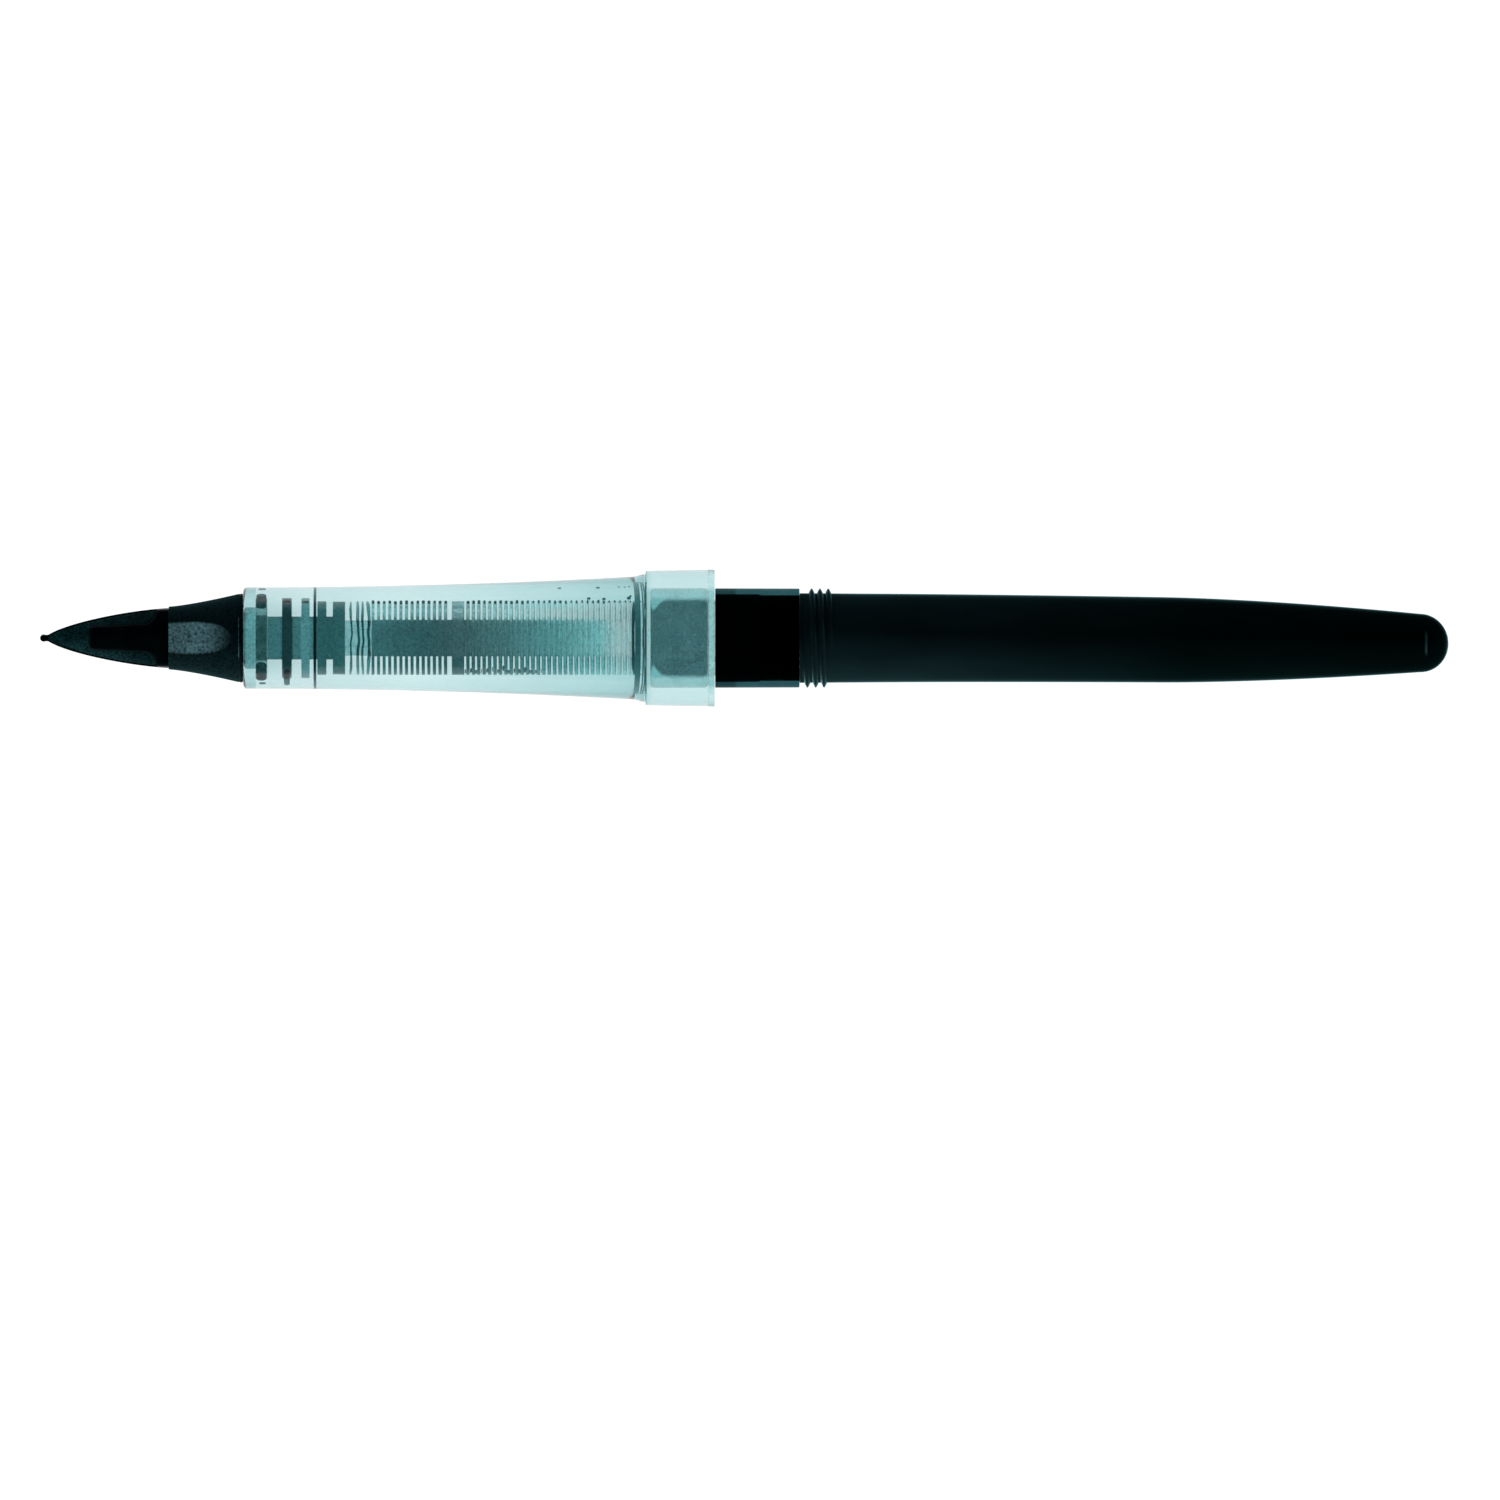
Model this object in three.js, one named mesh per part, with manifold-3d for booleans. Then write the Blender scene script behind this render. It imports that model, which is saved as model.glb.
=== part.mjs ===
// Ink unit of a flexible-nib pen: nib, clear grip with its ink collector, and ink tank.
// Millimetres, +Z up. The pen lies along X with its nib at -X and the tongue of the nib facing +Z.
// The origin is on the pen's axis, midway between the nib's tip and the tail.

import * as THREE from 'three';
import { mergeVertices } from 'three/addons/utils/BufferGeometryUtils.js';
import Module from 'manifold-3d';

const wasm = await Module();
wasm.setup();

// Driving dimensions
const overallLength = 120;
const nibLength = 10.96;
const holderLength = 6.34;
const gripLength = 39.64;
const collarLength = 5.93;
const ringLength = 0.53;
const neckLength = 7.24;

const nibHalfWidth = 2.55;
const nibFlatness = 0.45;
const holderFrontRadius = 2.68;
const holderRearRadius = 3.78;
const gripFrontRadius = 4.33;
const gripRearRadius = 5.22;
const collarFrontRadius = 5.71;
const collarRearRadius = 5.83;
const neckRadius = 4.24;
const tankRadius = 3.82;
const wickRadius = 0.7;
const finRadius = 3.13;

// Clearances between pieces
const seatGap = 0.05;
const flexGap = 0.2;

// Facets round the turned pieces
const shellFacets = 32;
const innerFacets = 24;
const finFacets = 12;

// Stations along the axis
const tipX = -overallLength / 2;
const tailX = overallLength / 2;
const nibRootX = tipX + nibLength;
const gripFrontX = nibRootX + holderLength;
const gripEndX = gripFrontX + gripLength;
const collarX = gripEndX + ringLength - collarLength;
const ringEndX = gripEndX + ringLength;
const neckEndX = ringEndX + neckLength;

const colours = {
  blackGloss: { color: 0x05090a, roughness: 0.25, metalness: 0 },
  blackMatte: { color: 0x15292b, roughness: 0.7, metalness: 0 },
  clear: { color: 0xc7e2e3, roughness: 0.1, metalness: 0, transparent: true, opacity: 0.4 },
  frosted: { color: 0x9fc8c9, roughness: 0.5, metalness: 0, transparent: true, opacity: 0.6 },
  smoke: { color: 0x4a8284, roughness: 0.35, metalness: 0 },
  wick: { color: 0x2a4b4d, roughness: 0.9, metalness: 0 },
  seal: { color: 0x102022, roughness: 0.6, metalness: 0 },
  tank: { color: 0x0a1617, roughness: 0.15, metalness: 0 },
  ink: { color: 0x010303, roughness: 0.05, metalness: 0 },
};

const pen = new THREE.Group();

function addPiece(name, geometry, look) {
  const mesh = new THREE.Mesh(geometry, new THREE.MeshStandardMaterial(colours[look]));
  mesh.name = name;
  pen.add(mesh);
}

// A solid of revolution about X. The profile lists [x, radius], outer wall towards +X first.
function turned(profile, facets) {
  const points = profile.map(([x, radius]) => new THREE.Vector2(radius, x));
  return new THREE.LatheGeometry(points, facets).rotateZ(-Math.PI / 2);
}

function closed(profile) {
  return [...profile, profile[0]];
}

// Points of a curve radius = f(share) between two stations, with share from 0 to 1.
function sweep(fromX, toX, steps, radiusAt) {
  return Array.from({ length: steps + 1 }, (_, i) => {
    const share = i / steps;
    return [fromX + (toX - fromX) * share, radiusAt(share)];
  });
}

// The angles of a quarter turn, in even steps.
function quarterTurn(steps) {
  return Array.from({ length: steps + 1 }, (_, i) => (i / steps) * (Math.PI / 2));
}

function toSolid(geometry) {
  const bare = geometry.clone();
  bare.deleteAttribute('normal');
  bare.deleteAttribute('uv');
  const merged = mergeVertices(bare, 1e-4);
  const index = Array.from(merged.index.array);
  const triVerts = [];
  for (let i = 0; i < index.length; i += 3) {
    const [a, b, c] = index.slice(i, i + 3);
    if (a !== b && b !== c && c !== a) triVerts.push(a, b, c);
  }
  return new wasm.Manifold(new wasm.Mesh({
    numProp: 3,
    vertProperties: Float32Array.from(merged.attributes.position.array),
    triVerts: Uint32Array.from(triVerts),
  }));
}

function toGeometry(solid) {
  const mesh = solid.getMesh();
  const geometry = new THREE.BufferGeometry();
  geometry.setAttribute('position', new THREE.BufferAttribute(mesh.vertProperties, 3));
  geometry.setIndex(new THREE.BufferAttribute(mesh.triVerts, 1));
  return geometry;
}

// A block given by its lowest and highest corners.
function block(low, high) {
  const size = high.map((value, axis) => value - low[axis]);
  const centre = high.map((value, axis) => (value + low[axis]) / 2);
  return new THREE.BoxGeometry(...size).translate(...centre);
}

// ---- Nib ----

const leafStartX = tipX + 0.34;
const nibEndX = nibRootX - flexGap;
const coreThickness = 0.52;
const tongueThickness = 0.45;
const nibSteps = 10;

// Half-width of the nib's pointed arch, from 0 at its point to the full width at its root.
function archWidth(share) {
  return nibHalfWidth * (1 - (1 - share) ** 1.4) ** 0.67;
}

// The nib's flattened arch as a solid, raised by a layer over its broad faces.
function nibArch(layer) {
  const grow = layer / nibFlatness;
  const arch = sweep(leafStartX, nibEndX, nibSteps, (share) => archWidth(share) + grow);
  const profile = [[leafStartX - grow, 0], ...arch, [nibEndX, 0]];
  return toSolid(turned(profile, innerFacets).scale(1, 1, nibFlatness));
}

// A plate cut to the nib's plan, between two heights.
function nibPlan(lowZ, highZ, outline) {
  const shape = new THREE.Shape(outline.map(([x, y]) => new THREE.Vector2(x, y)));
  const plate = new THREE.ExtrudeGeometry(shape, { depth: highZ - lowZ, bevelEnabled: false });
  return toSolid(plate.translate(0, 0, lowZ));
}

function nibCore() {
  const tangHalfWidth = 1.2;
  const tangLength = 1;
  const ballRadius = 0.31;
  const arch = sweep(leafStartX, nibEndX, nibSteps, archWidth);
  const mirrored = arch.slice(1).reverse().map(([x, y]) => [x, -y]);
  const tang = [
    [nibEndX, tangHalfWidth],
    [nibEndX + tangLength, tangHalfWidth],
    [nibEndX + tangLength, -tangHalfWidth],
    [nibEndX, -tangHalfWidth],
  ];
  const outline = [...arch, ...tang, ...mirrored].reverse();
  const plate = nibPlan(-coreThickness / 2, coreThickness / 2, outline);
  const ball = new THREE.SphereGeometry(ballRadius, finFacets, 8).translate(tipX + ballRadius, 0, 0);
  return toGeometry(plate.add(toSolid(ball)));
}

const coverHeight = nibHalfWidth;

function nibLeaf(side) {
  const nearZ = coreThickness / 2 + seatGap;
  const cover = toSolid(block(
    [tipX, -nibHalfWidth, side > 0 ? nearZ : -coverHeight],
    [nibRootX, nibHalfWidth, side > 0 ? coverHeight : -nearZ],
  ));
  return toGeometry(nibArch(0).intersect(cover));
}

// The tongue is T-shaped in plan: a stem that widens along the nib, and a crossbar over its root.
function nibTongue(side) {
  const frontHalfWidth = 0.99;
  const rearHalfWidth = 1.26;
  const stemLength = 6.55;
  const corner = 0.3;
  const barLength = 0.8;
  const frontX = nibEndX - stemLength;
  const barX = nibEndX - barLength;
  const barHalfWidth = nibHalfWidth - 0.08;
  const flare = 1.1;
  const shape = new THREE.Shape();
  shape.moveTo(nibEndX, -barHalfWidth);
  shape.lineTo(nibEndX, barHalfWidth);
  shape.lineTo(barX, barHalfWidth);
  shape.quadraticCurveTo(barX, rearHalfWidth, barX - flare, rearHalfWidth);
  shape.lineTo(frontX + corner, frontHalfWidth);
  shape.quadraticCurveTo(frontX, frontHalfWidth, frontX, frontHalfWidth - corner);
  shape.lineTo(frontX, corner - frontHalfWidth);
  shape.quadraticCurveTo(frontX, -frontHalfWidth, frontX + corner, -frontHalfWidth);
  shape.lineTo(barX - flare, -rearHalfWidth);
  shape.quadraticCurveTo(barX, -rearHalfWidth, barX, -barHalfWidth);
  const plan = new THREE.ExtrudeGeometry(shape, {
    depth: coverHeight,
    bevelEnabled: false,
    curveSegments: 3,
  });
  const lift = coreThickness / 2 + seatGap;
  plan.translate(0, 0, side > 0 ? lift : -lift - coverHeight);
  const layer = nibArch(tongueThickness).subtract(nibArch(seatGap));
  return toGeometry(toSolid(plan).intersect(layer));
}

// ---- Nib holder ----

const stubRadius = 2.62;
const stubX = gripFrontX - 1.75;
const wickBore = wickRadius + seatGap;

// A scoop across the top of the holder, deepest at its front edge.
function holderScoop() {
  const scoopLength = 5;
  const frontHeight = 2.31;
  const heightAt = (run) => frontHeight + 0.06 * run + 0.0325 * run * run;
  const floor = sweep(0, scoopLength, 6, (share) => heightAt(share * scoopLength));
  const overhang = 0.2;
  const shape = new THREE.Shape([
    new THREE.Vector2(nibRootX - overhang, heightAt(0)),
    ...floor.map(([run, height]) => new THREE.Vector2(nibRootX + run, height)),
    new THREE.Vector2(nibRootX + scoopLength, holderRearRadius + 1),
    new THREE.Vector2(nibRootX - overhang, holderRearRadius + 1),
  ]);
  const width = 2 * holderRearRadius;
  const cut = new THREE.ExtrudeGeometry(shape, { depth: width, bevelEnabled: false });
  return toSolid(cut.rotateX(Math.PI / 2).translate(0, width / 2, 0));
}

function nibHolder() {
  const lipX = gripFrontX - 0.3;
  const flare = holderRearRadius - holderFrontRadius;
  const cone = sweep(nibRootX, lipX, 6, (share) => holderFrontRadius + flare * share ** 1.3);
  const body = toSolid(turned(closed([
    [nibRootX, wickBore],
    ...cone,
    [gripFrontX, holderRearRadius],
    [gripFrontX, stubRadius + seatGap],
    [stubX - seatGap, stubRadius + seatGap],
    [stubX - seatGap, wickBore],
  ]), shellFacets));
  const slotDepth = 1.3;
  const slot = toSolid(block([nibRootX - 1, -1.45, -0.5], [nibRootX + slotDepth, 1.45, 0.5]));
  return toGeometry(body.subtract(slot).subtract(holderScoop()));
}

// ---- Clear grip, its rear ring and the front seal ----

const frontWall = 1.1;
const boreRadius = finRadius + 0.07;
const frontBoreRadius = 3.5;
const boreStepX = gripFrontX + 6.2;
const boreEndX = collarX + 0.2;
const socketRadius = neckRadius + seatGap;

function grip() {
  const corner = 0.35;
  const shoulderLength = 1.3;
  const flareEndX = collarX - shoulderLength;
  const flare = gripRearRadius - gripFrontRadius;
  const shoulderRise = collarFrontRadius - gripRearRadius;
  const frontCorner = quarterTurn(3).map((turn) => [
    gripFrontX + corner * (1 - Math.cos(turn)),
    gripFrontRadius + corner * (Math.sin(turn) - 1),
  ]);
  const body = sweep(gripFrontX + corner, flareEndX, 7, (share) => gripFrontRadius + flare * share ** 2);
  const shoulder = sweep(flareEndX, collarX, 4, (share) => gripRearRadius + shoulderRise * share ** 2.2);
  return turned(closed([
    ...frontCorner,
    ...body.slice(1),
    ...shoulder.slice(1),
    [gripEndX, collarRearRadius],
    [gripEndX, socketRadius],
    [boreEndX, socketRadius],
    [boreEndX, boreRadius],
    [boreStepX, boreRadius],
    [boreStepX, frontBoreRadius],
    [gripFrontX + frontWall, frontBoreRadius],
    [gripFrontX + frontWall, stubRadius + seatGap],
    [gripFrontX, stubRadius + seatGap],
  ]), shellFacets);
}

function collarRing() {
  return turned(closed([
    [gripEndX, collarRearRadius],
    [ringEndX, collarRearRadius],
    [ringEndX, socketRadius],
    [gripEndX, socketRadius],
  ]), shellFacets);
}

// ---- Ink feed and collector ----

const feedShaftRadius = 1.83;
const feedX = gripFrontX + frontWall;
const feedEndX = gripFrontX + 8.72;
const sealLength = 0.95;

function frontSeal() {
  return turned(closed([
    [feedX, frontBoreRadius - 0.02],
    [feedX + sealLength, frontBoreRadius - 0.02],
    [feedX + sealLength, feedShaftRadius + 0.02],
    [feedX, feedShaftRadius + 0.02],
  ]), innerFacets);
}

// A turned comb: discs of one radius on a core, between two stations, with a bore for the wick.
function comb(startX, endX, coreRadius, discs, facets) {
  const profile = [[startX, wickBore]];
  let x = startX;
  for (const { at, thickness, radius } of discs) {
    if (at > x) {
      profile.push([x, coreRadius], [at, coreRadius]);
    }
    profile.push([at, radius], [at + thickness, radius]);
    x = at + thickness;
  }
  if (x < endX) {
    profile.push([x, coreRadius], [endX, coreRadius]);
  }
  profile.push([endX, wickBore]);
  return turned(closed(profile), facets);
}

function frontFeed() {
  const discs = [
    { at: stubX, thickness: feedX - stubX, radius: stubRadius },
    { at: gripFrontX + 3.35, thickness: 0.8, radius: 3.4 },
    { at: gripFrontX + 5.0, thickness: 0.68, radius: 3.4 },
    { at: boreStepX + 0.16, thickness: 0.76, radius: 3.14 },
    { at: gripFrontX + 7.68, thickness: 1.04, radius: 3.1 },
  ];
  return comb(stubX, feedEndX, feedShaftRadius, discs, innerFacets);
}

// Evenly pitched fins of the comb, from the first one's front face.
function fins(startX, pitch, count, thickness) {
  return Array.from({ length: count }, (_, i) => ({
    at: startX + i * pitch,
    thickness,
    radius: finRadius,
  }));
}

const collectorCore = 1.56;
const finThickness = 0.25;
const frontCombX = gripFrontX + 10.98;
const frontCombPitch = 0.477;
const frontCombFins = 14;
const rimThickness = 1.02;
const rimX = frontCombX + frontCombFins * frontCombPitch + 0.2;
const rearCombX = rimX + rimThickness;
const rearCombPitch = 0.463;
const rearCombFins = 31;
const rearCombEndX = rearCombX + rearCombFins * rearCombPitch;

function collectorFront() {
  const rim = { at: rimX, thickness: rimThickness, radius: finRadius };
  const discs = [...fins(frontCombX, frontCombPitch, frontCombFins, finThickness), rim];
  return comb(frontCombX, rearCombX, collectorCore, discs, finFacets);
}

function collectorRear() {
  const firstFinX = rearCombX + rearCombPitch - finThickness;
  const discs = fins(firstFinX, rearCombPitch, rearCombFins, finThickness);
  return comb(rearCombX, rearCombEndX, collectorCore, discs, finFacets);
}

// ---- Joint between grip and tank ----

const jointX = collarX + 0.25;
const nozzleX = collarX + 0.55;
const nozzleRadius = 3.25;
const nozzleFootX = ringEndX - 0.02;
const wickFrontX = nibRootX + 1.35;
const wickEndX = nozzleX + 3;

function feedWick() {
  return turned([
    [wickFrontX, 0],
    [wickFrontX, wickRadius],
    [wickEndX - 0.4, wickRadius],
    [wickEndX, wickRadius / 2],
    [wickEndX, 0],
  ], finFacets);
}

const jointLipX = gripEndX - 0.3;
const sealSectionRadius = 0.3;
const sealX = nozzleX + 2.1;

// The bush has a groove inside for the tank's sealing ring.
function tankJoint() {
  const bore = nozzleRadius + seatGap;
  const groove = bore + sealSectionRadius;
  const grooveHalf = sealSectionRadius + seatGap;
  return turned(closed([
    [jointX, neckRadius],
    [jointLipX, neckRadius],
    [jointLipX, bore],
    [sealX + grooveHalf, bore],
    [sealX + grooveHalf, groove],
    [sealX - grooveHalf, groove],
    [sealX - grooveHalf, bore],
    [jointX, bore],
  ]), innerFacets);
}

// The sealing ring sits in the bush's groove, round the nozzle.
function tankSeal() {
  const middle = nozzleRadius + seatGap / 2 + sealSectionRadius / 2 + 0.01;
  const halfHeight = sealSectionRadius / 2;
  const ring = Array.from({ length: 8 }, (_, i) => {
    const turn = -(i * Math.PI) / 4;
    return [sealX - sealSectionRadius * Math.cos(turn), middle - halfHeight * Math.sin(turn)];
  });
  return turned(closed(ring), innerFacets);
}

const wallThickness = 0.62;
const spigotEndX = ringEndX + 2.6;

// The nozzle closes the tank's mouth, and its round-edged front takes the wick.
function tankNozzle() {
  const edge = 1.8;
  const round = quarterTurn(4).map((turn) => [
    nozzleX + edge * (1 - Math.cos(turn)),
    nozzleRadius + edge * (Math.sin(turn) - 1),
  ]);
  const spigotRadius = tankRadius - wallThickness - 0.02;
  return turned(closed([
    [nozzleX, wickBore + seatGap],
    ...round,
    [nozzleFootX, nozzleRadius],
    [nozzleFootX, spigotRadius],
    [spigotEndX, spigotRadius],
    [spigotEndX, wickBore + seatGap],
  ]), innerFacets);
}

// ---- Tank ----

const tankX = ringEndX + 0.05;
const taperX = 35.4;
const taperRadius = 3.64;
const domeLength = 2.4;
const domeRadius = 2.49;
const domeX = tailX - domeLength;
const cavityEndX = 57.9;
const cavityShoulderX = 57.3;
const bow = 0.46;

const plugX = ringEndX + 4.3;
const plugEndX = plugX + 11.5;
const inkX = plugEndX + 0.3;

// The soft tail bows a little to -Y, from where the ink starts.
function bowed(geometry) {
  const position = geometry.attributes.position;
  for (let i = 0; i < position.count; i += 1) {
    const run = Math.max(0, position.getX(i) - inkX) / (tailX - inkX);
    position.setY(i, position.getY(i) - bow * run ** 1.5);
  }
  return geometry;
}

function tankRadiusAt(x) {
  if (x < taperX) {
    return THREE.MathUtils.mapLinear(x, neckEndX, taperX, tankRadius, taperRadius);
  }
  const share = (x - taperX) / (domeX - taperX);
  return taperRadius - (taperRadius - domeRadius) * share ** 1.6;
}

// The tank's wall from where the ink starts, at a depth below its outer face.
function tankWall(toX, inset) {
  const straight = sweep(inkX, taperX, 2, () => 0);
  const taper = sweep(taperX, toX, 5, () => 0).slice(1);
  return [...straight, ...taper].map(([x]) => [x, tankRadiusAt(x) - inset]);
}

// A helix about X that starts on the -Y side.
class Helix extends THREE.Curve {
  constructor(radius, startX, pitch, turns) {
    super();
    Object.assign(this, { radius, startX, pitch, turns });
  }

  getPoint(share, target = new THREE.Vector3()) {
    const turn = Math.PI + 2 * Math.PI * this.turns * share;
    const x = this.startX + this.pitch * this.turns * share;
    return target.set(x, this.radius * Math.cos(turn), this.radius * Math.sin(turn));
  }
}

// Right-handed thread: three turns whose crests reach the neck's radius.
function tankThread() {
  const pitch = 0.71;
  const turns = 3;
  const ridgeRadius = 0.24;
  const startX = neckEndX + 0.315 + pitch / 2;
  const helix = new Helix(neckRadius - ridgeRadius - 0.02, startX, pitch, turns);
  const section = new THREE.Shape();
  section.absarc(0, 0, ridgeRadius, 0, 2 * Math.PI);
  return toSolid(new THREE.ExtrudeGeometry(section, {
    steps: 16 * turns,
    curveSegments: 4,
    extrudePath: helix,
  }));
}

function reservoir() {
  const dome = quarterTurn(6).map((turn) => [
    domeX + domeLength * Math.sin(turn),
    domeRadius * Math.cos(turn),
  ]);
  const mouthRadius = tankRadius - wallThickness;
  const cavity = tankWall(cavityShoulderX, wallThickness);
  const shell = toSolid(turned([
    [tankX, mouthRadius],
    [tankX, tankRadius - 0.01],
    [neckEndX, tankRadius],
    ...tankWall(domeX, 0),
    ...dome.slice(1, -1),
    [tailX, 0],
    [cavityEndX, 0],
    [cavityEndX, 1.6],
    ...cavity.reverse(),
    [tankX, mouthRadius],
  ], shellFacets));
  return bowed(toGeometry(shell.add(tankThread())));
}

function neckSleeve() {
  return turned(closed([
    [tankX, neckRadius],
    [neckEndX, neckRadius - 0.02],
    [neckEndX, tankRadius + 0.02],
    [tankX, tankRadius + 0.02],
  ]), shellFacets);
}

// The plug's flanges fill the tank's bore, and its hole lets the ink through.
function tankPlug() {
  const plugRadius = 2.6;
  const flange = 0.5;
  const flangeRadius = tankRadiusAt(plugEndX) - wallThickness - seatGap;
  const hole = 0.6;
  return turned(closed([
    [plugX, hole],
    [plugX, flangeRadius],
    [plugX + flange, flangeRadius],
    [plugX + flange, plugRadius],
    [plugEndX - flange, plugRadius],
    [plugEndX, plugRadius - flange],
    [plugEndX, hole],
  ]), innerFacets);
}

function inkCharge() {
  const inset = wallThickness + seatGap;
  return bowed(turned([
    [inkX, 0],
    ...tankWall(cavityShoulderX, inset),
    [cavityShoulderX, 0],
  ], shellFacets));
}

addPiece('nib_core', nibCore(), 'blackGloss');
addPiece('nib_leaf_upper', nibLeaf(1), 'blackMatte');
addPiece('nib_leaf_lower', nibLeaf(-1), 'blackMatte');
addPiece('nib_tongue_upper', nibTongue(1), 'blackGloss');
addPiece('nib_tongue_lower', nibTongue(-1), 'blackGloss');
addPiece('nib_holder', nibHolder(), 'blackGloss');
addPiece('front_seal', frontSeal(), 'seal');
addPiece('front_feed', frontFeed(), 'smoke');
addPiece('collector_front', collectorFront(), 'smoke');
addPiece('collector_rear', collectorRear(), 'smoke');
addPiece('feed_wick', feedWick(), 'wick');
addPiece('grip', grip(), 'clear');
addPiece('collar_ring', collarRing(), 'clear');
addPiece('tank_joint', tankJoint(), 'frosted');
addPiece('tank_seal', tankSeal(), 'seal');
addPiece('tank_nozzle', tankNozzle(), 'smoke');
addPiece('neck_sleeve', neckSleeve(), 'tank');
addPiece('reservoir', reservoir(), 'tank');
addPiece('tank_plug', tankPlug(), 'smoke');
addPiece('ink_charge', inkCharge(), 'ink');

export default pen;
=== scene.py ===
"""The looks of a flexible-nib pen ink unit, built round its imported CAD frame.

The pen lies along X with its nib at -X and the nib's tongue facing +Z. Shapes are worked out in
millimetres from the boxes of the CAD nodes, and become metres when a mesh is made.
"""

import math
import random

import bmesh
import bpy
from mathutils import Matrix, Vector


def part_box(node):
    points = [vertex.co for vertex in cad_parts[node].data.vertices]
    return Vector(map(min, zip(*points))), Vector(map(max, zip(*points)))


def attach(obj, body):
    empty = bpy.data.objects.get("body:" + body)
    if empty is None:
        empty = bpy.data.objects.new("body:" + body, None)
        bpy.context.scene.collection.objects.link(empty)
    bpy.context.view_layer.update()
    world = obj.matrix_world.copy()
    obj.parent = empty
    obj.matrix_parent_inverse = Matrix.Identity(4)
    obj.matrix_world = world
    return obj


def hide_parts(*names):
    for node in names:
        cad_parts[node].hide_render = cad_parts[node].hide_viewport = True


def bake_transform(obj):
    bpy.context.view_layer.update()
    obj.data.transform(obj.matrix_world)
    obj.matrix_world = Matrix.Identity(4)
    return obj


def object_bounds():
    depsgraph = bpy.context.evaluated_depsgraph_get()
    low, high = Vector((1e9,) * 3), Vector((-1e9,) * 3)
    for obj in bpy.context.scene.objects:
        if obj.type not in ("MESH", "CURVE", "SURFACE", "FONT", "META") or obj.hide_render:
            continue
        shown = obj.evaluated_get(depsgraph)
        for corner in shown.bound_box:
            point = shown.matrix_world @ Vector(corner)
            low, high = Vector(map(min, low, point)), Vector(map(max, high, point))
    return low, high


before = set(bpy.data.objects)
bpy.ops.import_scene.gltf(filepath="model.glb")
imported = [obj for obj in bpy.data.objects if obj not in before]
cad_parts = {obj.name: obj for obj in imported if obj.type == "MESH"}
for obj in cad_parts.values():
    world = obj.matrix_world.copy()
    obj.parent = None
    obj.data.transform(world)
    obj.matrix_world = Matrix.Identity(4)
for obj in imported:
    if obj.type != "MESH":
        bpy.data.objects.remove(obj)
cad_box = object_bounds()

MM = 0.001
SHELL_FACETS = 160
INNER_FACETS = 112


# ---- Stations and radii, from the CAD nodes ----

def span(node):
    """First station, last station and outer radius of a CAD node, in millimetres."""
    low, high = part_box(node)
    return low.x / MM, high.x / MM, high.z / MM


tip_x, tang_x, _ = span("nib_core")
nib_root_x, holder_end_x, holder_radius = span("nib_holder")
grip_x, _, collar_radius = span("grip")
ring_x, ring_end_x, _ = span("collar_ring")
seal_x, seal_end_x, _ = span("front_seal")
feed_x, feed_end_x, _ = span("front_feed")
comb_x, comb_end_x, fin_radius = span("collector_front")
rear_comb_x, rear_comb_end_x, _ = span("collector_rear")
wick_x, wick_end_x, wick_radius = span("feed_wick")
joint_x, _, joint_radius = span("tank_joint")
nozzle_x, nozzle_end_x, nozzle_radius = span("tank_nozzle")
neck_x, neck_end_x, neck_radius = span("neck_sleeve")
ink_x = span("ink_charge")[0]
tail_x = span("reservoir")[1]
front_bore = 3.5


# ---- Meshes ----

def shell(rings, loop=False):
    """Points and faces through rings of points. A ring of one point is a pole.

    Loop joins the last ring to the first.
    """
    starts = []
    points = []
    for ring in rings:
        starts.append(len(points))
        points += [Vector(point) * MM for point in ring]
    steps = list(zip(range(len(rings) - 1), range(1, len(rings))))
    if loop:
        steps.append((len(rings) - 1, 0))
    faces = []
    for a, b in steps:
        count = max(len(rings[a]), len(rings[b]))
        for i in range(count if count > 1 else 0):
            j = (i + 1) % count
            corners = [starts[a] + i % len(rings[a]), starts[a] + j % len(rings[a])]
            corners += [starts[b] + j % len(rings[b]), starts[b] + i % len(rings[b])]
            faces.append(list(dict.fromkeys(corners)))
    return points, faces


def skin(name, rings, loop=False):
    """One object made of a single shell."""
    return mesh_object(name, [shell(rings, loop)])


def mesh_object(name, shells):
    """One object made of closed shells of (points, faces)."""
    points, faces = [], []
    for shell_points, shell_faces in shells:
        faces += [[len(points) + corner for corner in face] for face in shell_faces]
        points += shell_points
    mesh = bpy.data.meshes.new(name)
    mesh.from_pydata(points, [], faces)
    work = bmesh.new()
    work.from_mesh(mesh)
    bmesh.ops.recalc_face_normals(work, faces=work.faces)
    work.to_mesh(mesh)
    work.free()
    mesh.polygons.foreach_set("use_smooth", [True] * len(mesh.polygons))
    mesh.set_sharp_from_angle(angle=math.radians(40))
    piece = bpy.data.objects.new(name, mesh)
    bpy.context.scene.collection.objects.link(piece)
    return piece


def circle(x, radius, facets):
    """A ring about the X axis, or one point where there is no radius."""
    if radius < 1e-6:
        return [(x, 0, 0)]
    turns = [2 * math.pi * i / facets for i in range(facets)]
    return [(x, radius * math.cos(turn), radius * math.sin(turn)) for turn in turns]


def turned(name, profile, facets=SHELL_FACETS, loop=True):
    """A solid of revolution about X. The profile lists (x, radius), and closes unless loop is off."""
    return skin(name, [circle(x, radius, facets) for x, radius in profile], loop)


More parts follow.
